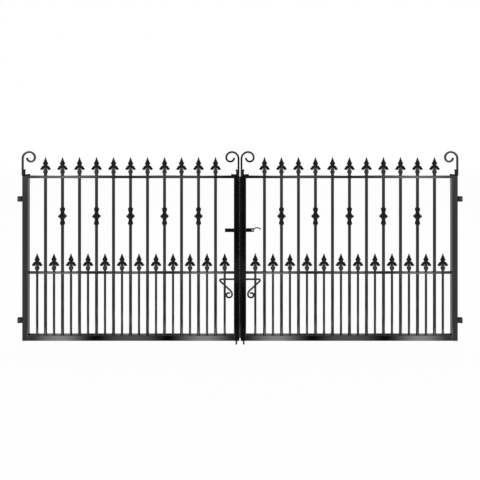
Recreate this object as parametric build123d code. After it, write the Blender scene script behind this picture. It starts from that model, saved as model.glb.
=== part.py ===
from build123d import *
from math import ceil, copysign, cos, pi, sin
import os

# Wrought iron driveway gate: two leaves that close an opening between two walls.
# Millimetres, Z up, the street side towards -Y, both leaves swing towards +Y.
# Each leaf is drawn to the right of the gate's centre line, with heights from the
# underside of its bottom rail, and the left leaf is its mirror image.

# Opening and closed leaves
opening_width = 3030.0
wall_gap = 36.3
meeting_gap = 7.5

# Box section frame
stile_size = 38.0
section_wall = 3.0
frame_height = 1121.0
top_rail_height = 17.0
middle_rail_top = 465.0
middle_rail_height = 10.0
bottom_rail_height = 38.0

# Upright bars, drawn with a few flat sides
bar_sides = 8
long_bar_diameter = 21.0
dog_bar_diameter = 16.0
long_bar_count = 11
meeting_end_space = 125.2
hinge_end_space = 113.7
finial_seat_height = 12.0
curved_seat = 0.3

# Spear finial, with its outlines as fractions of the height and the half widths below
finial_height = 117.0
bud_half_width = 15.5
bud_sides = 6
bud_rings = ((0.0, 0.68), (0.11, 1.0), (0.35, 0.22))
petal_reach = 38.0
petal_thickness = 9.0
petal_outline = ((0.26, 0.33), (0.37, 0.24), (0.85, 0.23), (1.0, 0.29), (0.68, 0.385), (0.42, 0.48))
spear_half_width = 19.0
spear_half_depth = 7.0
spear_rings = ((0.445, 0.47), (0.595, 1.0), (1.0, 0.03))

# Turned collar on every second long bar
collar_centre_height = 844.0
collar_half_height = 60.0
collar_rim = 30.0
collar_waist = 12.5
collar_waist_position = 0.33
collar_knob = 17.5
collar_knob_position = 0.8
collar_end = 12.0

# Bent bars are made of short straight lengths, with this many degrees between them
bend_step = 20.0

# Scroll on top of each stile
scroll_bar = 13.0
scroll_height = 161.0
scroll_radii = (45.0, 38.0, 27.0, 26.3)
hinge_scroll_overhang = 5.0

# Cast corner bracket at the foot of each scroll
bracket_leg_height = 44.0
bracket_foot_length = 43.0
bracket_leg_width = 10.0
bracket_foot_height = 9.0
bracket_knob_half_width = 6.5
bracket_corner_cut = 5.0

# Hinges
hinge_heights = (135.0, 962.0)
pin_offset = 20.0
pin_diameter = 12.0
pin_clearance = 0.05
eye_half_width = 10.0
eye_height = 22.0
eye_neck_depth = 12.0
ear_half_width = 11.0
ear_clearance = 0.3
hinge_bracket_height = 35.0
wall_plate_thickness = 6.0
wall_plate_depth = 22.5

# Stop strip on the right leaf, in the gap between the stiles
stop_strip_depth = 6.0
stop_strip_clearance = 0.3
stop_strip_end_inset = 7.0

# Drop bolts behind the meeting stiles
rod_diameter = 12.5
rod_offset = 25.2
rod_stile_space = 5.0
rod_projection = 43.0
rod_bend_radius = 14.0
handle_height = 405.5
handle_reach = 138.0
handle_return_radius = 8.0
handle_return_turn = 137.0
handle_diagonal = 95.0
handle_scroll_radii = (36.0, 21.5, 17.7, 14.3)
handle_last_turn = 135.0
guide_heights = (19.0, 375.0)
guide_height = 14.0
guide_width = 26.0
guide_wall = 5.0
rod_clearance = 0.3

# Slide latch behind the meeting stiles
latch_height = 744.0
latch_bar_height = 25.0
latch_bar_thickness = 10.0
latch_plate_thickness = 5.0
latch_edge_inset = 3.0
latch_end = 95.6
keeper_end = 103.5
staple_wall = 4.0
staple_clearance = 0.3
keeper_clearance = 1.5
padlock_hole_radius = 4.25
padlock_hole_position = 85.3
latch_tail_diameter = 8.0
latch_tail_inset = 1.6
latch_tail_slope = 50.0
latch_tail_run = 5.0
latch_tail_radii = (24.0, 40.0)
latch_tail_droop = 45.0

# Places worked out from the driving dimensions
wall_x = opening_width / 2
pin_x = wall_x - pin_offset
hinge_stile_outer = wall_x - wall_gap
hinge_stile_inner = hinge_stile_outer - stile_size
meeting_edge = meeting_gap / 2
meeting_stile_inner = meeting_edge + stile_size
half_depth = stile_size / 2
clear_width = hinge_stile_inner - meeting_stile_inner
bar_pitch = (clear_width - meeting_end_space - hinge_end_space) / (long_bar_count - 1)
first_long_bar = meeting_stile_inner + meeting_end_space
long_bar_places = [first_long_bar + i * bar_pitch for i in range(long_bar_count)]
bar_neighbours = [meeting_stile_inner] + long_bar_places + [hinge_stile_inner]
dog_bar_places = [(a + b) / 2 for a, b in zip(bar_neighbours, bar_neighbours[1:])]
long_bar_top = frame_height + finial_seat_height
dog_bar_top = middle_rail_top + finial_seat_height
scroll_plane = scroll_bar / 2 - half_depth
hinge_scroll_outer = hinge_stile_outer + hinge_scroll_overhang
rod_plane = half_depth + rod_stile_space + rod_diameter / 2
latch_front = half_depth + latch_plate_thickness

# The gate's own frame: the lower left hinge bracket's wall face is the origin
gate_place = Pos(wall_x, 0, -hinge_heights[0])


def block(x, y, z):
    """A block between two X, two Y and two Z values."""
    centre = Pos((x[0] + x[1]) / 2, (y[0] + y[1]) / 2, (z[0] + z[1]) / 2)
    return centre * Box(abs(x[1] - x[0]), abs(y[1] - y[0]), abs(z[1] - z[0]))


def ring(half_width, sides=bar_sides):
    """Corners of a regular outline with flats to its left and right, given its half width."""
    corner = half_width / cos(pi / sides)
    angles = [(2 * i + 1) * pi / sides for i in range(sides)]
    return [(corner * cos(angle), corner * sin(angle)) for angle in angles]


def faceted(rings):
    """A solid with flat faces between rings of corners, one ring after another."""
    faces = [Face(Wire.make_polygon(rings[0])), Face(Wire.make_polygon(rings[-1]))]
    for low, high in zip(rings, rings[1:]):
        for i in range(len(low)):
            faces.append(Face(Wire.make_polygon([low[i - 1], low[i], high[i], high[i - 1]])))
    return Solid(Shell(faces))


def stacked(outlines):
    """A faceted solid through level outlines, given as (height, corners) pairs."""
    return faceted([[(x, y, height) for x, y in corners] for height, corners in outlines])


def upright(half_width, low, high):
    """A few-sided bar standing on the Z axis between two heights."""
    return stacked([(low, ring(half_width)), (high, ring(half_width))])


def round_pin(radius, low, high):
    """A round pin standing on the Z axis between two heights."""
    return Pos(0, 0, low) * Cylinder(radius, high - low, align=(Align.CENTER, Align.CENTER, Align.MIN))


def path_points(start, heading, moves):
    """Points with headings along runs (length, 0) and bends (radius, turn), seen from the front."""
    point = Vector(*start)
    points = [(point, heading)]
    for size, turn in moves:
        if turn == 0:
            points.append((point + Vector(size, 0).rotate(Axis.Z, heading), heading))
        else:
            side = copysign(90, turn)
            centre = point + Vector(size, 0).rotate(Axis.Z, heading + side)
            steps = ceil(abs(turn) / bend_step)
            for angle in [heading + turn * (i + 1) / steps for i in range(steps)]:
                points.append((centre - Vector(size, 0).rotate(Axis.Z, angle + side), angle))
        point, heading = points[-1]
    return points


def bent_bar(outline, start, heading, moves):
    """A bar along runs and bends in the front view, each bend in short straight lengths."""
    rings = []
    for point, angle in path_points(start, heading, moves):
        across = Vector(1, 0).rotate(Axis.Z, angle - 90)
        rings.append([(point.X + a * across.X, b, point.Y + a * across.Y) for a, b in outline])
    return faceted(rings)


def write(name, solids, side=1):
    """Write one piece of the gate, mirrored where it belongs to the left leaf."""
    placed = [solid if side > 0 else mirror(solid, Plane.YZ) for solid in solids]
    shape = Compound(children=[gate_place * solid for solid in placed])
    if len(placed) == 1:
        shape = gate_place * placed[0]
    export_step(shape, f"parts/{name}.step")


# Frame

def stile(low_x):
    """A box section upright, capped at the top and open below."""
    outer = block((low_x, low_x + stile_size), (-half_depth, half_depth), (0, frame_height))
    inner_x = (low_x + section_wall, low_x + stile_size - section_wall)
    inner_y = (section_wall - half_depth, half_depth - section_wall)
    return outer - block(inner_x, inner_y, (0, frame_height - section_wall))


def bottom_rail():
    """A box section rail between the stiles."""
    span = (meeting_stile_inner, hinge_stile_inner)
    outer = block(span, (-half_depth, half_depth), (0, bottom_rail_height))
    inner_y = (section_wall - half_depth, half_depth - section_wall)
    return outer - block(span, inner_y, (section_wall, bottom_rail_height - section_wall))


def punched_rail(top, height, holes):
    """A flat bar between the stiles, punched where (place, diameter) bars pass."""
    span = (meeting_stile_inner, hinge_stile_inner)
    rail = block(span, (-half_depth, half_depth), (top - height, top))
    punches = [Pos(x, 0, 0) * upright(d / 2 + curved_seat, top - height, top) for x, d in holes]
    return rail - punches


# Bars, finials and collars

def bars(places, diameter, top):
    """Round bars that stand on the bottom rail."""
    bar = upright(diameter / 2, bottom_rail_height, top)
    return [Pos(x, 0, 0) * bar for x in places]


def finial():
    """A cast fleur-de-lis spear: turned bud, two drooping petals and a ridged spearhead."""
    bud = stacked([(z * finial_height, ring(w * bud_half_width, bud_sides)) for z, w in bud_rings])
    half = [(x * petal_reach, z * finial_height) for x, z in petal_outline]
    outline = half + [(-x, z) for x, z in reversed(half)]
    petals = extrude(Plane.XZ * make_face(Polyline(*outline, close=True)), petal_thickness / 2, both=True)
    spear_outlines = []
    for height, width in spear_rings:
        x = width * spear_half_width
        y = width * spear_half_depth
        spear_outlines.append((height * finial_height, [(x, 0), (0, y), (-x, 0), (0, -y)]))
    return bud + petals + stacked(spear_outlines)


def finials(places, seat):
    """One finial on the top of each bar."""
    casting = finial()
    return [Pos(x, 0, seat) * casting for x in places]


def collar():
    """A turned collar: a sharp rim between two knobs that flare away from it."""
    waist_height = collar_waist_position * collar_half_height
    knob_height = collar_knob_position * collar_half_height
    upper = [(waist_height, collar_waist), (knob_height, collar_knob), (collar_half_height, collar_end)]
    profile = [(-height, width) for height, width in reversed(upper)] + [(0, collar_rim)] + upper
    body = stacked([(height, ring(width)) for height, width in profile])
    return body - upright(long_bar_diameter / 2 + curved_seat, -collar_half_height, collar_half_height)


def collars():
    """A collar on every second long bar."""
    casting = Pos(0, 0, collar_centre_height) * collar()
    return [Pos(x, 0, 0) * casting for x in long_bar_places[1::2]]


# Scrolls and corner brackets on the top

def scroll(edge_x, inward):
    """A square bar that stands on a stile and curls over the leaf, given its outer face."""
    start_x = edge_x + inward * scroll_bar / 2
    rise = scroll_height - scroll_radii[0]
    bends = [(radius, -inward * 90) for radius in scroll_radii]
    curl = bent_bar(ring(scroll_bar / 2, sides=4), (start_x, frame_height), 90, [(rise, 0)] + bends)
    return Pos(0, scroll_plane, 0) * curl


def corner_bracket(edge_x, inward):
    """A cast gusset between a scroll's stem and the top of the frame."""
    leg = Rectangle(bracket_leg_width, bracket_leg_height, align=Align.MIN)
    foot = Rectangle(bracket_foot_length, bracket_foot_height, align=Align.MIN)
    angle = leg + foot
    corner = angle.vertices().sort_by_distance((bracket_leg_width, bracket_foot_height))[0]
    knob = make_face(Polyline(*ring(bracket_knob_half_width), close=True))
    leg_knob = Pos(bracket_knob_half_width, bracket_leg_height - bracket_knob_half_width) * knob
    foot_knob = Pos(bracket_foot_length - bracket_knob_half_width, bracket_knob_half_width) * knob
    profile = chamfer(corner, bracket_corner_cut) + leg_knob + foot_knob
    casting = extrude(Plane.XZ * profile, scroll_bar / 2, both=True)
    if inward < 0:
        casting = mirror(casting, Plane.YZ)
    return Pos(edge_x + inward * scroll_bar, scroll_plane, frame_height) * casting


# Hinges

def hinge_eye(height):
    """A barrel on the pin with a flat neck to the hinge stile."""
    low = height - eye_height / 2
    high = height + eye_height / 2
    barrel = Pos(pin_x, 0, 0) * upright(eye_half_width, low, high)
    neck = block((hinge_stile_outer, pin_x), (-eye_neck_depth / 2, eye_neck_depth / 2), (low, high))
    bore = Pos(pin_x, 0, 0) * round_pin(pin_diameter / 2 + pin_clearance, low, high)
    return barrel + neck - bore


def hinge_bracket(height):
    """A wall plate with two blunt-nosed ears and the pin fixed in them."""
    low = height - hinge_bracket_height / 2
    high = height + hinge_bracket_height / 2
    plate_face = wall_x - wall_plate_thickness
    plate = block((plate_face, wall_x), (-wall_plate_depth / 2, wall_plate_depth / 2), (low, high))
    nose = Pos(pin_x, 0, 0) * upright(ear_half_width, low, high)
    ears = nose + block((pin_x, plate_face), (-ear_half_width, ear_half_width), (low, high))
    half_gap = eye_height / 2 + ear_clearance
    gap_x = (pin_x - 2 * ear_half_width, plate_face)
    ears -= block(gap_x, (-wall_plate_depth, wall_plate_depth), (height - half_gap, height + half_gap))
    return plate + ears + Pos(pin_x, 0, 0) * round_pin(pin_diameter / 2, low, high)


# Meeting stiles: stop strip, drop bolts and slide latch

def stop_strip():
    """A flat bar welded in the gap, on the right leaf's meeting stile."""
    span = (stop_strip_clearance - meeting_edge, meeting_edge)
    depth = (half_depth - stop_strip_depth, half_depth)
    return block(span, depth, (stop_strip_end_inset, frame_height - stop_strip_end_inset))


def drop_bolt():
    """One round rod: bolt, level handle, return, diagonal and hanging scroll."""
    rise = handle_height - rod_bend_radius + rod_projection
    level = handle_reach - rod_offset - rod_bend_radius - handle_return_radius
    moves = [(rise, 0), (rod_bend_radius, -90), (level, 0), (handle_return_radius, -handle_return_turn)]
    moves.append((handle_diagonal, 0))
    turns = (handle_return_turn - 90, 90, 90, handle_last_turn)
    moves += list(zip(handle_scroll_radii, turns))
    rod = bent_bar(ring(rod_diameter / 2), (rod_offset, -rod_projection), 90, moves)
    return Pos(0, rod_plane, 0) * rod


def drop_bolt_guide(height):
    """A drilled lug on the meeting stile's back."""
    low = height - guide_height / 2
    high = height + guide_height / 2
    back = rod_plane + rod_diameter / 2 + guide_wall
    lug = block((rod_offset - guide_width / 2, rod_offset + guide_width / 2), (half_depth, back), (low, high))
    return lug - Pos(rod_offset, rod_plane, 0) * upright(rod_diameter / 2 + rod_clearance, low, high)


def staple(clearance):
    """A loop on a back plate, behind a meeting stile, that the latch bolt slides through."""
    span = (meeting_edge + latch_edge_inset, meeting_stile_inner)
    half_opening = latch_bar_height / 2 + clearance
    opening_y = (latch_front, latch_front + latch_bar_thickness + 2 * clearance)
    half_outer = half_opening + staple_wall
    outer_z = (latch_height - half_outer, latch_height + half_outer)
    loop = block(span, (half_depth, opening_y[1] + staple_wall), outer_z)
    return loop - block(span, opening_y, (latch_height - half_opening, latch_height + half_opening))


def latch_keeper():
    """The left leaf's staple, on a plate that runs on past the stile."""
    half_bar = latch_bar_height / 2
    plate_z = (latch_height - half_bar, latch_height + half_bar)
    plate = block((meeting_edge + latch_edge_inset, keeper_end), (half_depth, latch_front), plate_z)
    return staple(keeper_clearance) + plate


def latch_bolt():
    """A flat sliding bar with a padlock hole and a curved tail."""
    front = latch_front + staple_clearance
    back = front + latch_bar_thickness
    half_bar = latch_bar_height / 2
    nose = meeting_edge + latch_edge_inset
    bar = block((nose, latch_end), (front, back), (latch_height - half_bar, latch_height + half_bar))
    hole = Cylinder(padlock_hole_radius, 2 * latch_bar_thickness)
    bar -= Pos(padlock_hole_position, (front + back) / 2, latch_height) * Rot(90, 0, 0) * hole
    tail_start = (latch_end - latch_tail_inset, latch_height + latch_tail_diameter / 2)
    turns = (-latch_tail_slope, -latch_tail_droop)
    moves = [(latch_tail_run, 0)] + list(zip(latch_tail_radii, turns))
    tail = bent_bar(ring(latch_tail_diameter / 2), tail_start, latch_tail_slope, moves)
    return bar + Pos(0, (front + back) / 2, 0) * tail


os.makedirs("parts", exist_ok=True)

long_holes = [(x, long_bar_diameter) for x in long_bar_places]
dog_holes = [(x, dog_bar_diameter) for x in dog_bar_places]
leaf_pieces = {
    "hinge_stile": [stile(hinge_stile_inner)],
    "meeting_stile": [stile(meeting_edge)],
    "bottom_rail": [bottom_rail()],
    "middle_rail": [punched_rail(middle_rail_top, middle_rail_height, long_holes + dog_holes)],
    "top_rail": [punched_rail(frame_height, top_rail_height, long_holes)],
    "long_bars": bars(long_bar_places, long_bar_diameter, long_bar_top),
    "dog_bars": bars(dog_bar_places, dog_bar_diameter, dog_bar_top),
    "top_finials": finials(long_bar_places, long_bar_top),
    "dog_finials": finials(dog_bar_places, dog_bar_top),
    "collars": collars(),
    "hinge_scroll": [scroll(hinge_scroll_outer, -1)],
    "meeting_scroll": [scroll(meeting_edge, 1)],
    "hinge_corner_bracket": [corner_bracket(hinge_scroll_outer, -1)],
    "meeting_corner_bracket": [corner_bracket(meeting_edge, 1)],
    "hinge_eyes": [hinge_eye(height) for height in hinge_heights],
    "drop_bolt_guides": [drop_bolt_guide(height) for height in guide_heights],
    "drop_bolt": [drop_bolt()],
    "hinge_brackets": [hinge_bracket(height) for height in hinge_heights],
}

for piece_name, piece_solids in leaf_pieces.items():
    write("left_" + piece_name, piece_solids, side=-1)
    write("right_" + piece_name, piece_solids)
write("latch_keeper", [latch_keeper()], side=-1)
write("latch_guide", [staple(staple_clearance)])
write("latch_bolt", [latch_bolt()])
write("stop_strip", [stop_strip()])
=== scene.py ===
import bmesh
import bpy
import numpy as np
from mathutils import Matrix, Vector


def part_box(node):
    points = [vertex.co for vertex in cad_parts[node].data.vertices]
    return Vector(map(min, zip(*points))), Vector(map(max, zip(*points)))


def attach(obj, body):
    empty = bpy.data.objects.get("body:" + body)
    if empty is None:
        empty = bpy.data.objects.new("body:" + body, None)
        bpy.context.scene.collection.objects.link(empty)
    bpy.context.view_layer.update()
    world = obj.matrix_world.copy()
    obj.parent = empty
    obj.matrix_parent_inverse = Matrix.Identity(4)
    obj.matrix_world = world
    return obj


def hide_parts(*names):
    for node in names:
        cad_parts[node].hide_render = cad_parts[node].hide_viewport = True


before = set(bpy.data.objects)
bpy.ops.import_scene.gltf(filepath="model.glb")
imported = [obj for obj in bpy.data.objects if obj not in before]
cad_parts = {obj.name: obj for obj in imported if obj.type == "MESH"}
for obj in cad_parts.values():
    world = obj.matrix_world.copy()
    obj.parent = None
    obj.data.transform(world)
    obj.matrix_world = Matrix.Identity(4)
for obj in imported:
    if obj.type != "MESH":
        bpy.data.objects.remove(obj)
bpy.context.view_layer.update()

# The viewpoint: square on to the gate's centre line, some way in front of its street face and
# level, with the lens shifted down so that the whole gate stands in the middle of the view.
gate_centre = 1.515
street_face = -0.019
view_distance = 3.4
eye_level = 1.2356
viewpoint_data = bpy.data.cameras.new("viewpoint")
viewpoint_data.sensor_width = 36
viewpoint_data.lens = 37.58
viewpoint_data.shift_y = -0.2104
viewpoint = bpy.data.objects.new("viewpoint", viewpoint_data)
viewpoint.location = (gate_centre, street_face - view_distance, eye_level)
viewpoint.rotation_euler = (np.pi / 2, 0, 0)
bpy.context.collection.objects.link(viewpoint)
bpy.context.scene.camera = viewpoint
bpy.context.scene.view_settings.view_transform = "Standard"

# The studio: a white floor at the level of the drop bolts' tips, with white air all round. The
# camera and the paint's gloss see plain white, but for a little of the floor's own matt finish,
# which shows the gate's shadow. What lights a matt face from there is dimmer.
air_light = 0.65
floor_level = -0.1785
floor_reach = 20
floor_grey = (0.93, 0.93, 0.93, 1)
shadow_share = 0.04
white = (1, 1, 1, 1)


class Wired:
    """One output of a material's node. Arithmetic on it adds Math nodes, and add() any other node."""

    def __init__(self, tree, socket=None):
        self.tree = tree
        self.socket = socket

    def add(self, kind, settings, sockets, out=0):
        """A node of one kind: its settings first, then its sockets' values or links."""
        node = self.tree.nodes.new(kind)
        for name, value in settings.items():
            setattr(node, name, value)
        for name, value in sockets.items():
            if isinstance(value, Wired):
                self.tree.links.new(value.socket, node.inputs[name])
            else:
                node.inputs[name].default_value = value
        return Wired(self.tree, node.outputs[out] if node.outputs else None)

    def other(self, out):
        """Another output of the same node."""
        return Wired(self.tree, self.socket.node.outputs[out])

    def math(self, operation, first, second=0.0):
        """A Math node of one operation. Those on a single number don't read the second."""
        return self.add("ShaderNodeMath", {"operation": operation}, {0: first, 1: second})

    def __add__(self, other):
        return self.math("ADD", self, other)

    __radd__ = __add__

    def __sub__(self, other):
        return self.math("SUBTRACT", self, other)

    def __rsub__(self, other):
        return self.math("SUBTRACT", other, self)

    def __mul__(self, other):
        return self.math("MULTIPLY", self, other)

    __rmul__ = __mul__

    def __pow__(self, other):
        return self.math("POWER", self, other)

    def __rpow__(self, other):
        return self.math("POWER", other, self)


def seen_or_mirrored(wires):
    """1 for rays from the camera, a mirror or a glass, and 0 for light that falls on a matt face."""
    rays = [wires.add("ShaderNodeLightPath", {}, {}, out=name)
            for name in ("Is Camera Ray", "Is Glossy Ray", "Is Transmission Ray")]
    return wires.math("MAXIMUM", wires.math("MAXIMUM", rays[0], rays[1]), rays[2])


def staged_sheet(name, first, second):
    """A flat sheet centred on the gate's centre line, between a lower and an upper edge of
    (half width, depth, height)."""
    mesh = bpy.data.meshes.new(name)
    corners = [(gate_centre + hand * half, depth, height)
               for (half, depth, height), hands in ((first, (-1, 1)), (second, (1, -1))) for hand in hands]
    mesh.from_pydata(corners, [], [(0, 1, 2, 3)])
    sheet = bpy.data.objects.new(name, mesh)
    bpy.context.collection.objects.link(sheet)
    finish = bpy.data.materials.new(name)
    finish.use_nodes = True
    finish.node_tree.nodes.clear()
    mesh.materials.append(finish)
    return sheet, Wired(finish.node_tree)


studio = bpy.data.worlds.new("studio")
bpy.context.scene.world = studio
studio.use_nodes = True
studio.node_tree.nodes.clear()
air = Wired(studio.node_tree)
dim_air = air.add("ShaderNodeBackground", {}, {"Color": white, "Strength": air_light})
white_air = air.add("ShaderNodeBackground", {}, {"Color": white, "Strength": 1.0})
air_mix = air.add("ShaderNodeMixShader", {}, {0: seen_or_mirrored(air), 1: dim_air, 2: white_air})
air.add("ShaderNodeOutputWorld", {}, {"Surface": air_mix})

_, ground = staged_sheet("studio_floor", (floor_reach, -floor_reach, floor_level),
                         (floor_reach, floor_reach, floor_level))
matt_floor = ground.add("ShaderNodeBsdfDiffuse", {}, {"Color": floor_grey})
white_floor = ground.add("ShaderNodeEmission", {}, {"Color": white, "Strength": 1.0})
in_view = seen_or_mirrored(ground) * (1 - shadow_share)
floor_mix = ground.add("ShaderNodeMixShader", {}, {0: in_view, 1: matt_floor, 2: white_floor})
ground.add("ShaderNodeOutputMaterial", {}, {"Surface": floor_mix})

# Painted reflections for the rails: glowing sheets, not lamps, that neither the camera nor a matt face
# sees, with strips of light that only the paint's gloss mirrors as bright bands on the rails. One card on
# the floor for the bottom rails, one further out for the middle rails, and a wall far in front for the
# top rails. Their strips fan out from the viewpoint's mirror image behind the gate, one to each pitch
# along the gate's front.
card_edge = 1.40
card_level = floor_level + 0.002
strip_pitch = 0.49
strip_light = 4.0
strip_swing = 1.9
wall_depth = -10.0
wall_top = 1.3
wall_pitch = 0.78
wall_light = 0.6
wall_growth = 3.6


def only_mirrored(name, half_width, first, second):
    """A staged sheet between two edges of (depth, height), seen by the paint's gloss alone. Its half
    width, given at the gate's front, widens with the distance from the gate."""
    spread = [half_width * (1 + abs(street_face - depth) / view_distance) for depth, _ in (first, second)]
    sheet, wires = staged_sheet(name, (spread[0], *first), (spread[1], *second))
    sheet.visible_camera = False
    sheet.visible_diffuse = False
    sheet.visible_shadow = False
    sheet.visible_transmission = False
    return wires


def mirrored_place(wires):
    """How far from the centre line the gate's front mirrors a point of a sheet to the viewpoint: the
    point's own distance across, times the view distance, over the view distance and the point's
    distance from the gate together."""
    spot = wires.add("ShaderNodeSeparateXYZ", {}, {0: wires.add("ShaderNodeTexCoord", {}, {}, out="Object")})
    sideways = spot - gate_centre
    distance = wires.math("ABSOLUTE", spot.other("Y") - street_face)
    return wires.math("ABSOLUTE", sideways * view_distance * (distance + view_distance) ** -1.0)


def strips(wires, place, pitch):
    """The square of a sine of the place, which peaks once in each pitch."""
    return wires.math("SINE", place * (np.pi / pitch)) ** 2.0


def glow(wires, strength):
    """An emission of one strength, which may vary over the sheet."""
    light = wires.add("ShaderNodeEmission", {}, {"Color": white, "Strength": strength})
    wires.add("ShaderNodeOutputMaterial", {}, {"Surface": light})


# Glowing sheets that paint bright reflected bands into the bottom and middle rails.
for name, far, near in (("foot_reflection_glow", -0.35, -0.03), ("middle_reflection_glow", -2.25, -1.55)):
    card = only_mirrored(name, card_edge, (far, card_level), (near, card_level))
    place = mirrored_place(card)
    swing = card.math("COSINE", (place - strip_pitch / 2) * (np.pi / strip_pitch))
    glow(card, strips(card, place, strip_pitch) * (swing * strip_swing + strip_light))

# A glowing sheet that paints bright reflected bands into the top rails.
wall = only_mirrored("top_reflection_glow", card_edge, (wall_depth, card_level), (wall_depth, wall_top))
place = mirrored_place(wall)
glow(wall, strips(wall, place, wall_pitch) * (place * wall_growth + wall_light))

# Painted reflections on the rails' tops: a glowing sheet far behind the gate, not a lamp, with fainter
# strips of light on it, which only the paint's gloss sees and the tops of the rails mirror at a low angle.
back_edge = 1.6
back_depth = 8.0
back_low = 1.0
back_top = 4.5
back_reflection_glow = only_mirrored("back_reflection_glow", back_edge, (back_depth, back_low), (back_depth, back_top))
glow(back_reflection_glow, strips(back_reflection_glow, mirrored_place(back_reflection_glow), strip_pitch))

# Painted shade in the reflections: a black runner on the floor's middle and a black board at its end,
# behind the viewpoint, sheets that only the paint's gloss sees, so that the meeting stiles and the latch
# mirror black there.
board_edge = 0.18
board_depth = -7.0
board_top = 4.0
runner_near = -0.3
runner_level = floor_level + 0.001
runner = only_mirrored("painted_shade_runner", board_edge, (board_depth, runner_level), (runner_near, runner_level))
glow(runner, 0.0)
board = only_mirrored("painted_shade_board", board_edge, (board_depth, floor_level), (board_depth, board_top))
glow(board, 0.0)

# The lamps: three weak softboxes, two in front of the gate at the sides and one above and behind
# it, all turned towards its middle.
lamp_aim = Vector((gate_centre, 0, 0.5))


def softbox(name, place, width, height, watts):
    """A soft rectangular lamp, turned from its place towards the gate."""
    light = bpy.data.lights.new(name, "AREA")
    light.shape = "RECTANGLE"
    light.size = width
    light.size_y = height
    light.energy = watts
    stand = bpy.data.objects.new(name, light)
    stand.location = place
    stand.rotation_euler = (lamp_aim - Vector(place)).to_track_quat("-Z", "Y").to_euler()
    stand.visible_camera = False
    bpy.context.collection.objects.link(stand)


softbox("left_softbox", (-2.4, -4.0, 3.4), width=2.0, height=2.0, watts=30)
softbox("right_softbox", (5.4, -4.0, 3.4), width=2.0, height=2.0, watts=24)
softbox("top_softbox", (gate_centre, 2.4, 4.0), width=3.0, height=2.0, watts=24)

# The box section frame of each leaf: two upright stiles and the bottom rail, in 38 mm square
# steel tube with rounded edges, welded at the corners. Stiles are capped on top, open below.
# Sizes are in millimetres from here on, and the frame's foot is a level in metres.
stile_size = 38.0
tube_wall = 3.0
edge_round = 2.4
inner_round = 1.0
frame_height = 1121.0
foot_level = -0.135
meeting_gap = 7.5
wall_gap = 36.3
wall_face = gate_centre * 1000
meeting_stile = meeting_gap / 2 + stile_size / 2
hinge_stile = wall_face - wall_gap - stile_size / 2
rail_ends = (meeting_stile + stile_size / 2, hinge_stile - stile_size / 2)


def rounded(width, depth, radius, steps=4, hold=0.25):
    """A rounded rectangle, anticlockwise: each corner's centre plus its radius times (cos, sin). One
    more point, slid along the tangent past each end of a corner, holds the sides flat."""
    quarter = np.linspace(0, np.pi / 2, steps + 1)[[0, *range(steps + 1), steps]]
    slide = hold * np.array([-1, *[0] * (steps + 1), 1])
    turns = quarter[None, :] + np.arange(4)[:, None] * np.pi / 2
    signs = np.array([(1, 1), (-1, 1), (-1, -1), (1, -1)])
    centres = signs * (width / 2 - radius, depth / 2 - radius)
    arcs = radius * np.stack([np.cos(turns), np.sin(turns)], -1)
    arcs += slide[None, :, None] * np.stack([-np.sin(turns), np.cos(turns)], -1)
    return (centres[:, None, :] + arcs).reshape(-1, 2)


def solid(rings, wrap=False):
    """A body from an array of rings of points: a quad joins each point, the next one round its
    ring and the two above them. The end rings close on their own middles, or on each other."""
    rings = np.asarray(rings, float)
    if not wrap:
        ends = [np.repeat(ring.mean(0)[None], len(ring), 0) for ring in (rings[0], rings[-1])]
        rings = np.concatenate([ends[0][None], rings, ends[1][None]])
    rows, columns = rings.shape[:2]
    row = np.arange(rows if wrap else rows - 1)[:, None] * columns
    above = (row + columns) % (rows * columns)
    column = np.arange(columns)[None, :]
    beside = (column + 1) % columns
    quads = np.stack([row + column, row + beside, above + beside, above + column], -1)
    return rings.reshape(-1, 3), quads.reshape(-1, 4)


def upright(levels, centre):
    """A body of level rings about an upright axis, each a profile at its own height."""
    rings = [np.column_stack([profile + centre, np.full(len(profile), height)]) for profile, height in levels]
    return solid(rings)


def along(profile, span, height):
    """A level bar: the profile, as (down, depth), at both ends of a span across the leaf."""
    rings = [np.column_stack([np.full(len(profile), x), profile[:, 1], height - profile[:, 0]]) for x in span]
    return solid(rings)


def hang(name, bodies, paint, node=None, body="{}_leaf", sides=("left", "right"), sharp=32):
    """A piece for each leaf, drawn on the right one as (distance from the gate's centre line, depth,
    height above the frame's foot) in millimetres. The left one is its mirror image, so each of its
    faces lists its corners in reverse. In the names of a node and a body, {} stands for the side."""
    starts = np.cumsum([0] + [len(points) for points, _ in bodies])
    all_points = np.concatenate([points for points, _ in bodies])
    all_quads = np.concatenate([quads + start for (_, quads), start in zip(bodies, starts)])
    for side in sides:
        hand = 1 if side == "right" else -1
        places = all_points * (hand, 1, 1) / 1000 + (gate_centre, 0, foot_level)
        mesh = bpy.data.meshes.new(f"{side}_{name}")
        mesh.from_pydata(places, [], all_quads[:, ::hand])
        edit = bmesh.new()
        edit.from_mesh(mesh)
        bmesh.ops.remove_doubles(edit, verts=edit.verts, dist=1e-6)
        edit.to_mesh(mesh)
        edit.free()
        mesh.shade_smooth()
        mesh.set_sharp_from_angle(angle=np.radians(sharp))
        mesh.materials.append(paint)
        piece = bpy.data.objects.new(f"{side}_{name}", mesh)
        bpy.context.collection.objects.link(piece)
        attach(piece, body.format(side))
        if node:
            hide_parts(node.format(side))


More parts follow.
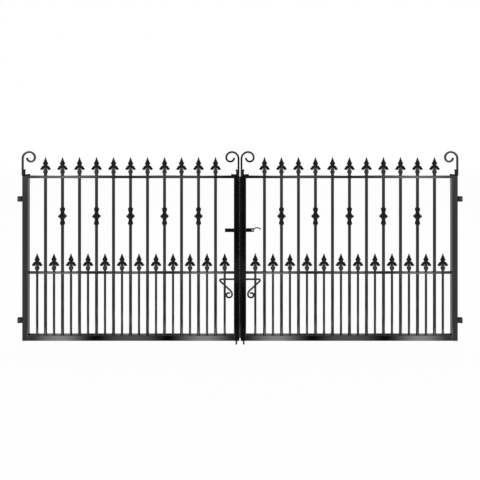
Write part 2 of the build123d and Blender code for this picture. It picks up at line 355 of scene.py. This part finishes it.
def black_paint(name, darkness, sheen, gloss, grain, grain_depth, lumps, lump_depth):
    """Sprayed black paint. Its grey and gloss drift slowly over the metal, a fine grain of orange
    peel covers it, and slower lumps come from the metal below. All of it is noise read at the
    object's own coordinates, at so many waves a metre, and the bumps' depths are in metres."""
    paint = bpy.data.materials.new(name)
    paint.use_nodes = True
    paint.node_tree.nodes.clear()
    coat = Wired(paint.node_tree)
    where = coat.add("ShaderNodeTexCoord", {}, {}, out="Object")

    def noise(waves, detail):
        return coat.add("ShaderNodeTexNoise", {}, {"Vector": where, "Scale": waves, "Detail": detail})

    drift = noise(waves=9.0, detail=3.0)
    peel = noise(waves=grain, detail=2.0)
    swell = noise(waves=lumps, detail=3.0)
    dust = noise(waves=55.0, detail=5.0) ** 3.0
    shade = drift * 0.4 + dust * 0.6
    pale = [part * 2.1 for part in darkness]
    colour = coat.add("ShaderNodeMix", {"data_type": "RGBA"},
                      {0: shade, 6: (*darkness, 1), 7: (*pale, 1)}, out=2)
    roughness = drift * 0.1 + peel * 0.04 + (gloss - 0.07)
    fine = coat.add("ShaderNodeBump", {}, {"Height": peel, "Distance": grain_depth, "Strength": 1.0})
    bumps = coat.add("ShaderNodeBump", {}, {
        "Height": swell, "Distance": lump_depth, "Strength": 1.0, "Normal": fine})
    surface = coat.add("ShaderNodeBsdfPrincipled", {}, {
        "Base Color": colour, "Roughness": roughness, "Normal": bumps, "Specular IOR Level": sheen})
    coat.add("ShaderNodeOutputMaterial", {}, {"Surface": surface})
    return paint


bar_paint = black_paint("bar_paint", darkness=(0.0032, 0.0032, 0.0035), sheen=0.42, gloss=0.11,
                        grain=380.0, grain_depth=0.000003, lumps=14.0, lump_depth=0.00004)

inner = rounded(stile_size - 2 * tube_wall, stile_size - 2 * tube_wall, inner_round)
outer, eased_outer, top_outer = [
    rounded(stile_size - 2 * inset, stile_size - 2 * inset, edge_round - inset) for inset in (0, 0.6, 1.5)]
stile_levels = [(inner, frame_height - tube_wall), (inner, 0), (eased_outer, 0), (outer, 0.6), (outer, 1.2),
                (outer, frame_height - 2.1), (outer, frame_height - 1.5), (eased_outer, frame_height - 0.4),
                (top_outer, frame_height)]
for name, stile_place in (("meeting", meeting_stile), ("hinge", hinge_stile)):
    stile = upright(stile_levels, (stile_place, 0))
    hang(name + "_upright", [stile], bar_paint, "{}_" + name + "_stile")
hang("foot_rail", [along(outer, rail_ends, stile_size / 2)], bar_paint, "{}_bottom_rail")

# The two flat rails of each leaf, solid steel bars 38 mm deep: a 17 mm one flush with the top of
# the stiles and a 10 mm one at dog bar height. The round bars pass through holes punched in
# them and are welded there.
top_rail_height = 17.0
middle_rail_height = 10.0
middle_rail_top = 465.0
rail_round = 1.2
for name, rail_height, rail_top in (("top", top_rail_height, frame_height),
                                    ("middle", middle_rail_height, middle_rail_top)):
    flat = along(rounded(rail_height, stile_size, rail_round), rail_ends, rail_top - rail_height / 2)
    hang(name + "_flat", [flat], bar_paint, "{}_" + name + "_rail")

# The round bars, solid steel rod welded in the rails: eleven thick ones a leaf from the bottom
# rail to above the top rail, and a thinner dog bar in each space between them, up to above the
# middle rail.
long_radius = 10.5
dog_radius = 8.0
seat = 12.0
bars_low, bars_high = [corner.x * 1000 - wall_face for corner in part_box("right_long_bars")]
long_places = np.linspace(bars_low + long_radius, bars_high - long_radius, 11)
neighbours = np.concatenate([[rail_ends[0]], long_places, [rail_ends[1]]])
dog_places = (neighbours[1:] + neighbours[:-1]) / 2
long_top = frame_height + seat
dog_top = middle_rail_top + seat


def turned(heights, radii, columns, lobes=0, lobe_depths=0.0, wrap=False):
    """A form turned about an upright axis: at each height a circle of that radius, which lobes may
    wave in and out by a share of the radius times the cosine of so many turns."""
    turn = np.arange(columns) * 2 * np.pi / columns
    wave = 1 + np.broadcast_to(lobe_depths, len(radii))[:, None] * np.cos(lobes * turn)[None, :]
    reach = np.asarray(radii, float)[:, None] * wave
    level = np.broadcast_to(np.asarray(heights, float)[:, None], reach.shape)
    return solid(np.stack([reach * np.cos(turn), reach * np.sin(turn), level], -1), wrap)


def repeated(body, places, height=0.0):
    """The same body again at each distance across the leaf, raised by one height."""
    points, quads = body
    offsets = np.column_stack([places, np.zeros(len(places)), np.full(len(places), height)])
    moved = points[None] + offsets[:, None, :]
    again = quads[None] + (np.arange(len(places)) * len(points))[:, None, None]
    return moved.reshape(-1, 3), again.reshape(-1, 4)


long_round = turned([stile_size, long_top], [long_radius] * 2, columns=28)
dog_round = turned([stile_size, dog_top], [dog_radius] * 2, columns=24)
hang("long_rounds", [repeated(long_round, long_places)], bar_paint, "{}_long_bars")
hang("dog_rounds", [repeated(dog_round, dog_places)], bar_paint, "{}_dog_bars")

# The weld beads: a low ring of weld, painted over, where each round bar meets the bottom rail
# and goes through the flat rails.
bead = 2.6


def bead_ring(radius, upward):
    """A ring of weld round a bar: a rounded corner between the bar and the rail, turned."""
    out = np.array([-0.6, 1.0, 0.72, 0.34, -0.6]) * bead + radius
    up = np.array([0.0, 0.0, 0.5, 0.86, 1.05]) * bead
    heights, radii = (up, out) if upward else (-up[::-1], out[::-1])
    return turned(heights, radii, columns=14, lobes=5, lobe_depths=0.03, wrap=True)


long_rings = [(stile_size, True), (middle_rail_top - middle_rail_height, False), (middle_rail_top, True),
              (frame_height - top_rail_height, False), (frame_height, True)]
beads = [repeated(bead_ring(long_radius, up), long_places, height) for height, up in long_rings]
beads += [repeated(bead_ring(dog_radius, up), dog_places, height) for height, up in long_rings[:3]]
hang("bar_welds", beads, bar_paint)

# The spear finials: one iron casting on every bar, a grooved bud under two drooping leaves
# and a ridged spearhead, all in one plane. The leaves and spearhead keep the slightly rough
# skin of a sand casting, and the bud is dressed smooth, as glossy as the bar below it.
cast_paint = black_paint("cast_paint", darkness=(0.0028, 0.0028, 0.003), sheen=0.14, gloss=0.38,
                         grain=260.0, grain_depth=0.00004, lumps=60.0, lump_depth=0.0003)
bud_heights = [-1, 0, 3, 7, 11, 15, 19, 24, 29, 34, 39, 46]
bud_radii = [10.5, 10.8, 12.2, 14.4, 15.6, 15.6, 14.6, 12.6, 10.6, 9.2, 8.4, 7.6]
bud_grooves = np.interp(bud_heights, [3, 15, 32], [0.0, 0.06, 0.0])
bud = turned(bud_heights, bud_radii, columns=20, lobes=4, lobe_depths=bud_grooves)


def spearhead(heights, widths, depths, ridge=1.25, columns=16):
    """Level rings with four ridges: width times cos and depth times sin, each to a power above 1."""
    turn = np.arange(columns) * 2 * np.pi / columns
    across = np.sign(np.cos(turn)) * np.abs(np.cos(turn)) ** ridge
    deep = np.sign(np.sin(turn)) * np.abs(np.sin(turn)) ** ridge
    level = np.broadcast_to(np.asarray(heights, float)[:, None], (len(heights), columns))
    return solid(np.stack([np.outer(widths, across), np.outer(depths, deep), level], -1))


def leaf(outline, centre, thickness, columns=40, rows=9):
    """A cushion-shaped leaf: the outline, evenly divided, shrinks to its centre by the cosine of a
    latitude while the depth goes as the latitude's sine."""
    loop = np.vstack([outline, outline[:1]])
    length = np.concatenate([[0], np.cumsum(np.linalg.norm(np.diff(loop, axis=0), axis=1))])
    steps = np.arange(columns) * length[-1] / columns
    edge = np.stack([np.interp(steps, length, loop[:, i]) for i in (0, 1)], -1)
    latitude = np.linspace(np.pi / 2, -np.pi / 2, rows)[1:-1]
    flat = np.asarray(centre) + np.cos(latitude)[:, None, None] * (edge - centre)[None]
    depth = np.broadcast_to(thickness * np.sin(latitude)[:, None], flat.shape[:2])
    return solid(np.stack([flat[..., 0], depth, flat[..., 1]], -1))


spear = spearhead(heights=[47, 52, 57, 63, 67, 69.5, 72, 76, 83, 90, 97, 104, 110, 116.6],
                  widths=[8, 10, 11.8, 14.6, 17.6, 18.9, 18.4, 16.4, 12.8, 9.8, 7.0, 4.7, 2.4, 0.3],
                  depths=[4.4, 4.8, 5.4, 6.3, 6.9, 7.0, 6.9, 6.3, 5.2, 4.3, 3.3, 2.3, 1.4, 0.3])
leaf_outline = np.array([(1, 42), (5, 42), (8, 39.5), (11, 34.5), (13.5, 29.5), (18, 26.6), (24, 25.8),
                         (30, 27), (34.5, 29.8), (38, 33.6), (34.5, 37.4), (31.5, 41), (29, 45.5),
                         (25.5, 51), (20, 55.6), (14, 58), (8, 58.2), (1, 57)])
right_leaf = leaf(leaf_outline, centre=(18, 43), thickness=6.2)
left_leaf = (right_leaf[0] * (-1, 1, 1), right_leaf[1][:, ::-1])
for group, places, height in (("top_finials", long_places, long_top), ("dog_finials", dog_places, dog_top)):
    hang(group + "_cast", [repeated(part, places, height) for part in (spear, right_leaf, left_leaf)],
         cast_paint, "{}_" + group, sharp=50)
    hang(group + "_buds", [repeated(bud, places, height)], bar_paint, sharp=50)

# The collars: turned iron castings slid on to every second long bar, a sharp rim in the middle
# and a rounded knob at each end.
collar_height = 844.0
half_heights = np.array([0.6, 3, 6.5, 10.5, 14.5, 18.5, 22.5, 26.5, 31, 36, 41, 46, 50.5, 54.5, 57.5, 60])
half_radii = np.array([29.8, 28.6, 25.4, 20.8, 16.8, 13.9, 12.6, 12.3, 13.0, 14.6, 16.4, 17.6, 17.7, 16.4,
                       14.2, 11.4])
collar_heights = np.concatenate([-half_heights[::-1], half_heights])
collar_radii = np.concatenate([half_radii[::-1], half_radii])
collar_grooves = np.interp(np.abs(collar_heights), [10, 18, 34, 48, 58], [0, 0.02, 0.05, 0.03, 0])
collar = turned(collar_heights, collar_radii, columns=32, lobes=8, lobe_depths=collar_grooves)
hang("collars_cast", [repeated(collar, long_places[1::2], collar_height)],
     cast_paint, "{}_collars", sharp=45)

# The scrolls: a 13 mm square steel bar with well rounded edges stands on each stile's outer
# edge, flush with the street face, and curls over the leaf in tighter bends to a square cut
# end. Its foot is welded to the frame's top.
scroll_bar = 13.0
scroll_round = 3.6
scroll_radii = (45.0, 38.0, 27.0, 26.3)
scroll_top = 161.0
hinge_overhang = 5.0
street = -stile_size / 2


def facing(angle):
    """Unit vectors at angles in degrees, as (across, up)."""
    return np.stack([np.cos(np.radians(angle)), np.sin(np.radians(angle))], -1)


def bent_path(start, heading, moves, step=5.0):
    """Points and headings of runs (length, 0) and bends (radius, turn): on a bend the headings are
    evenly spaced, and each point is the bend's centre less the radius along the heading's normal."""
    points, headings = [np.array([start], float)], [np.array([heading], float)]
    for size, turn in moves:
        here, angle = points[-1][-1], headings[-1][-1]
        if turn == 0:
            points.append(here[None] + size * facing(angle)[None])
            headings.append(np.array([angle]))
        else:
            side = 90 * np.sign(turn)
            count = int(np.ceil(abs(turn) / step))
            angles = angle + turn * np.arange(1, count + 1) / count
            points.append(here + size * facing(angle + side) - size * facing(angles + side))
            headings.append(angles)
    return np.concatenate(points), np.concatenate(headings)


def carried(profile, path, depth, taper=1.5):
    """A profile carried along a path in the gate's plane: its first number goes along the heading's
    normal and its second into the depth. Both ends are drawn in over the taper's length."""
    points, headings = path
    ends = facing(headings[[0, -1]]) * taper
    points = np.concatenate([points[:1], points[:1] + ends[:1], points[1:-1],
                             points[-1:] - ends[1:], points[-1:]])
    headings = np.concatenate([headings[:1], headings, headings[-1:]])
    size = np.ones(len(points))
    size[[0, -1]] = 1 - taper / np.ptp(profile[:, 0])
    normal = facing(headings - 90)
    across = size[:, None] * profile[None, :, 0]
    rings = [points[:, None, 0] + across * normal[:, None, 0],
             depth + size[:, None] * profile[None, :, 1],
             points[:, None, 1] + across * normal[:, None, 1]]
    return solid(np.stack(rings, -1))


scroll_profile = rounded(scroll_bar, scroll_bar, scroll_round)
scroll_edges = (("meeting", meeting_gap / 2, 1), ("hinge", wall_face - wall_gap + hinge_overhang, -1))
for name, edge, inward in scroll_edges:
    curl = [(scroll_top - scroll_radii[0], 0)] + [(radius, -90 * inward) for radius in scroll_radii]
    path = bent_path((edge + inward * scroll_bar / 2, frame_height), 90, curl)
    hang(name + "_curl", [carried(scroll_profile, path, street + scroll_bar / 2)],
         bar_paint, "{}_" + name + "_scroll")

# The corner brackets: a small iron casting welded in the angle between each scroll and the
# frame's top, of two like arms with a knob at the end of each.
bracket_ease = 1.4


def pressed(outline, first, last, ease, inset):
    """Rings that raise a flat outline from a first level to a last one. At both of these its points
    are drawn in by the inset, along the mean normal of their two sides, and from the ease on they
    stand in full."""
    before = outline - np.roll(outline, 1, 0)
    after = np.roll(outline, -1, 0) - outline
    tangent = before / np.linalg.norm(before, axis=1)[:, None]
    tangent += after / np.linalg.norm(after, axis=1)[:, None]
    normal = np.stack([tangent[:, 1], -tangent[:, 0]], -1)
    normal /= np.linalg.norm(normal, axis=1)[:, None]
    rise = np.copysign(ease, last - first)
    levels = ((first, inset), (first + rise, 0), (last - rise, 0), (last, inset))
    return [np.column_stack([outline - drawn * normal, np.full(len(outline), level)])
            for level, drawn in levels]


def arc(centre, radius, first, last, count):
    """Points on a circle between two angles in degrees."""
    return np.asarray(centre) + radius * facing(np.linspace(first, last, count))


knob = arc((6.5, 37.5), 6.5, -40, 160, 13)
leg = np.concatenate([[(0, 0), (10, 0), (10, 17), (10, 33)], knob, [(0, 30), (0, 15)]])
foot = leg[::-1, ::-1]
for name, edge, inward in scroll_edges:
    arms = []
    for outline in (leg, foot):
        rings = np.array(pressed(outline, scroll_bar / 2, -scroll_bar / 2, bracket_ease, bracket_ease))
        rings = np.stack([edge + inward * (scroll_bar + rings[..., 0]),
                          street + scroll_bar / 2 + rings[..., 2],
                          frame_height + rings[..., 1]], -1)
        arms.append(solid(rings if inward > 0 else rings[:, ::-1]))
    hang(name + "_gusset", arms, cast_paint, "{}_" + name + "_corner_bracket", sharp=40)

# The hinges: a wall plate with two drilled ears holds a pin for an eye on the stile, in black
# painted steel, two to a leaf. The pin's ends are riveted over a little.
bolt_paint = black_paint("bolt_paint", darkness=(0.0034, 0.0034, 0.0036), sheen=0.40, gloss=0.14,
                         grain=500.0, grain_depth=0.000003, lumps=30.0, lump_depth=0.00004)
hinge_heights = (135.0, 962.0)
pin_place = wall_face - 20.0
pin_heights = [-19.3, -18.8, -17.4, 17.4, 18.8, 19.3]
pin_radii = [3.4, 6.4, 7.6, 7.6, 6.4, 3.4]
eye_radius = 10.0
eye_half = 11.0
eye_ease = 0.8
ear_radius = 11.0
ear_gap = 11.3
ear_thickness = 6.2
ear_root = 5.0
ear_ease = 0.9
plate_thickness = 6.0
plate_width = 22.5
plate_half = 17.5
plate_round = 1.2
plate_ease = 1.0
plate_inset = 0.8
hinge_face = wall_face - wall_gap
eye_neck = [(hinge_face + 2, 6), (hinge_face - 0.5, 7.5), (hinge_face - 0.5, -7.5), (hinge_face + 2, -6)]
eye_outline = np.concatenate([arc((pin_place, 0), eye_radius, -143, 143, 40), eye_neck])
ear_outline = np.concatenate([[(wall_face - ear_root, -ear_radius), (wall_face - ear_root, ear_radius)],
                              arc((pin_place, 0), ear_radius, 90, 270, 26)])
plate_outline = rounded(plate_thickness, plate_width, plate_round) + (wall_face - plate_thickness / 2, 0)
pin = turned(pin_heights, pin_radii, columns=24)
eyes, brackets = [], []
for height in hinge_heights:
    eyes.append(solid(pressed(eye_outline, height - eye_half, height + eye_half, eye_ease, eye_ease)))
    plate = pressed(plate_outline, height - plate_half, height + plate_half, plate_ease, plate_inset)
    brackets.append(solid(plate))
    for low in (height - plate_half, height + ear_gap):
        brackets.append(solid(pressed(ear_outline, low, low + ear_thickness, ear_ease, ear_ease)))
    brackets.append((pin[0] + (pin_place, 0, height), pin[1]))
hang("eyes_round", eyes, bolt_paint, "{}_hinge_eyes", sharp=40)
hang("wall_hinges", brackets, bolt_paint, "{}_hinge_brackets", "hinge_brackets", sharp=40)

# The stop strip: a flat steel bar welded in the gap, on the right leaf's stile. The lip along
# its back edge all but touches the left leaf's stile, so that no light comes through.
strip_inset = 7.0
strip_edge = meeting_gap / 2
lip_gap = 0.04
lip = strip_edge - lip_gap
strip_outline = np.array([(strip_edge, 13), (strip_edge, 19), (-3.2, 19), (-lip, 18.6), (-lip, 18.2),
                          (-3.45, 17), (-3.45, 13.5), (-3.0, 13)])
stop_flat = upright([(strip_outline, strip_inset), (strip_outline, frame_height - strip_inset)], (0, 0))
hang("stop_flat", [stop_flat], bar_paint, "stop_strip", sides=("right",))

# The latch's keeper and guide: loops folded from steel plate and welded behind the meeting
# stiles. They keep the solids' own form, with their edges eased.
loop_ease = 0.8


def eased(name, node, paint, body, width):
    """A copy of a solid's mesh with its seams merged, its flat faces whole and its edges rounded."""
    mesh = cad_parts[node].data.copy()
    edit = bmesh.new()
    edit.from_mesh(mesh)
    bmesh.ops.remove_doubles(edit, verts=edit.verts, dist=1e-6)
    bmesh.ops.dissolve_limit(edit, angle_limit=np.radians(1), verts=edit.verts, edges=edit.edges)
    edit.to_mesh(mesh)
    edit.free()
    mesh.materials.clear()
    mesh.materials.append(paint)
    mesh.shade_smooth()
    mesh.set_sharp_from_angle(angle=np.radians(32))
    piece = bpy.data.objects.new(name, mesh)
    bpy.context.collection.objects.link(piece)
    edges = piece.modifiers.new("eased_edges", "BEVEL")
    edges.width = width / 1000
    edges.segments = 2
    edges.limit_method = "ANGLE"
    edges.angle_limit = np.radians(40)
    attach(piece, body)
    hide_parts(node)


eased("keeper_loop", "latch_keeper", bolt_paint, "left_leaf", loop_ease)
eased("guide_loop", "latch_guide", bolt_paint, "right_leaf", loop_ease)

# The drop bolts: one 12.5 mm round steel rod each, bent into a level handle that turns back to a
# hanging scroll, and held behind the meeting stile by two drilled lugs that are welded to it.
rod_radius = 6.25
rod_place = 25.2
rod_depth = 30.25
rod_foot = -43.0
bend_radius = 14.0
handle_height = 405.5
handle_moves = [(handle_height - bend_radius - rod_foot, 0), (bend_radius, -90), (90.8, 0), (8.0, -137),
                (95.0, 0), (36.0, 47), (21.5, 90), (17.7, 90), (14.3, 135)]
rod_taper = 3.0


def circle(radius, sides):
    """A round profile: the radius times unit vectors at even angles."""
    return radius * facing(np.arange(sides) * 360 / sides)


rod_path = bent_path((rod_place, rod_foot), 90, handle_moves)
rod = carried(circle(rod_radius, 20), rod_path, rod_depth, rod_taper)
hang("bent_rod", [rod], bolt_paint, "{}_drop_bolt", "{}_drop_bolt", sharp=40)

lug_heights = (19.0, 375.0)
lug_half = 7.0
lug_width = 26.0
lug_depth = 22.5
lug_round = 2.5
lug_ease = 1.0
lug_bore = 6.6
lug_outline = rounded(lug_width, lug_depth, lug_round, steps=5) + (rod_place, rod_depth)
lug_turns = np.arctan2(lug_outline[:, 1] - rod_depth, lug_outline[:, 0] - rod_place)
bore_outline = np.stack([rod_place + lug_bore * np.cos(lug_turns),
                         rod_depth + lug_bore * np.sin(lug_turns)], -1)
lugs = []
for height in lug_heights:
    loops = pressed(lug_outline, height - lug_half, height + lug_half, lug_ease, lug_ease)
    loops += [np.column_stack([bore_outline, np.full(len(bore_outline), level)])
              for level in (height + lug_half, height - lug_half)]
    lugs.append(solid(loops, wrap=True))
hang("rod_lugs", lugs, bolt_paint, "{}_drop_bolt_guides", sharp=40)

# The slide latch: a flat steel bar in the right leaf's guide, with a hole for a padlock and a
# thin round tail welded to its end as a finger grip.
latch_height = 744.0
bar_start = 6.75
bar_end = 95.6
bar_half = 12.5
bar_front = 24.3
bar_back = 34.3
bar_ease = 0.8
hole_place = 85.3
hole_radius = 4.25
tail_radius = 4.0
tail_start = (bar_end - 1.6, latch_height + 4)
tail_heading = 50
tail_moves = [(5, 0), (24, -50), (40, -45)]
least = 1e-9
corners = np.array([(x, z) for x in (bar_start, bar_end) for z in (-bar_half, bar_half)])
corner_turns = np.arctan2(corners[:, 1], corners[:, 0] - hole_place)
turns = np.unique(np.concatenate([np.linspace(-np.pi, np.pi, 48, endpoint=False), corner_turns]))
rays = np.stack([np.cos(turns), np.sin(turns)], -1)
across = np.where(np.abs(rays[:, 0]) < least, least, rays[:, 0])
sideways = np.where(rays[:, 0] > 0, bar_end - hole_place, bar_start - hole_place) / across
upwards = bar_half / np.maximum(np.abs(rays[:, 1]), least)
rim = rays * np.minimum(sideways, upwards)[:, None]


def latch_ring(share, depth):
    """A loop between the hole's edge (share 0) and the bar's outline (share 1) at one depth."""
    loop = (1 - share) * hole_radius * rays + share * rim
    return np.column_stack([loop[:, 0] + hole_place, np.full(len(loop), depth), loop[:, 1] + latch_height])


rings = [(0, bar_back), (0.94, bar_back), (0.97, bar_back), (1, bar_back - bar_ease),
         (1, bar_front + bar_ease), (0.97, bar_front), (0.94, bar_front), (0, bar_front)]
latch_bar = solid([latch_ring(share, depth) for share, depth in rings], wrap=True)
tail_path = bent_path(tail_start, tail_heading, tail_moves)
tail = carried(circle(tail_radius, 16), tail_path, (bar_front + bar_back) / 2)
hang("latch_slide", [latch_bar, tail], bolt_paint, "latch_bolt", "latch_bolt",
     sides=("right",), sharp=40)
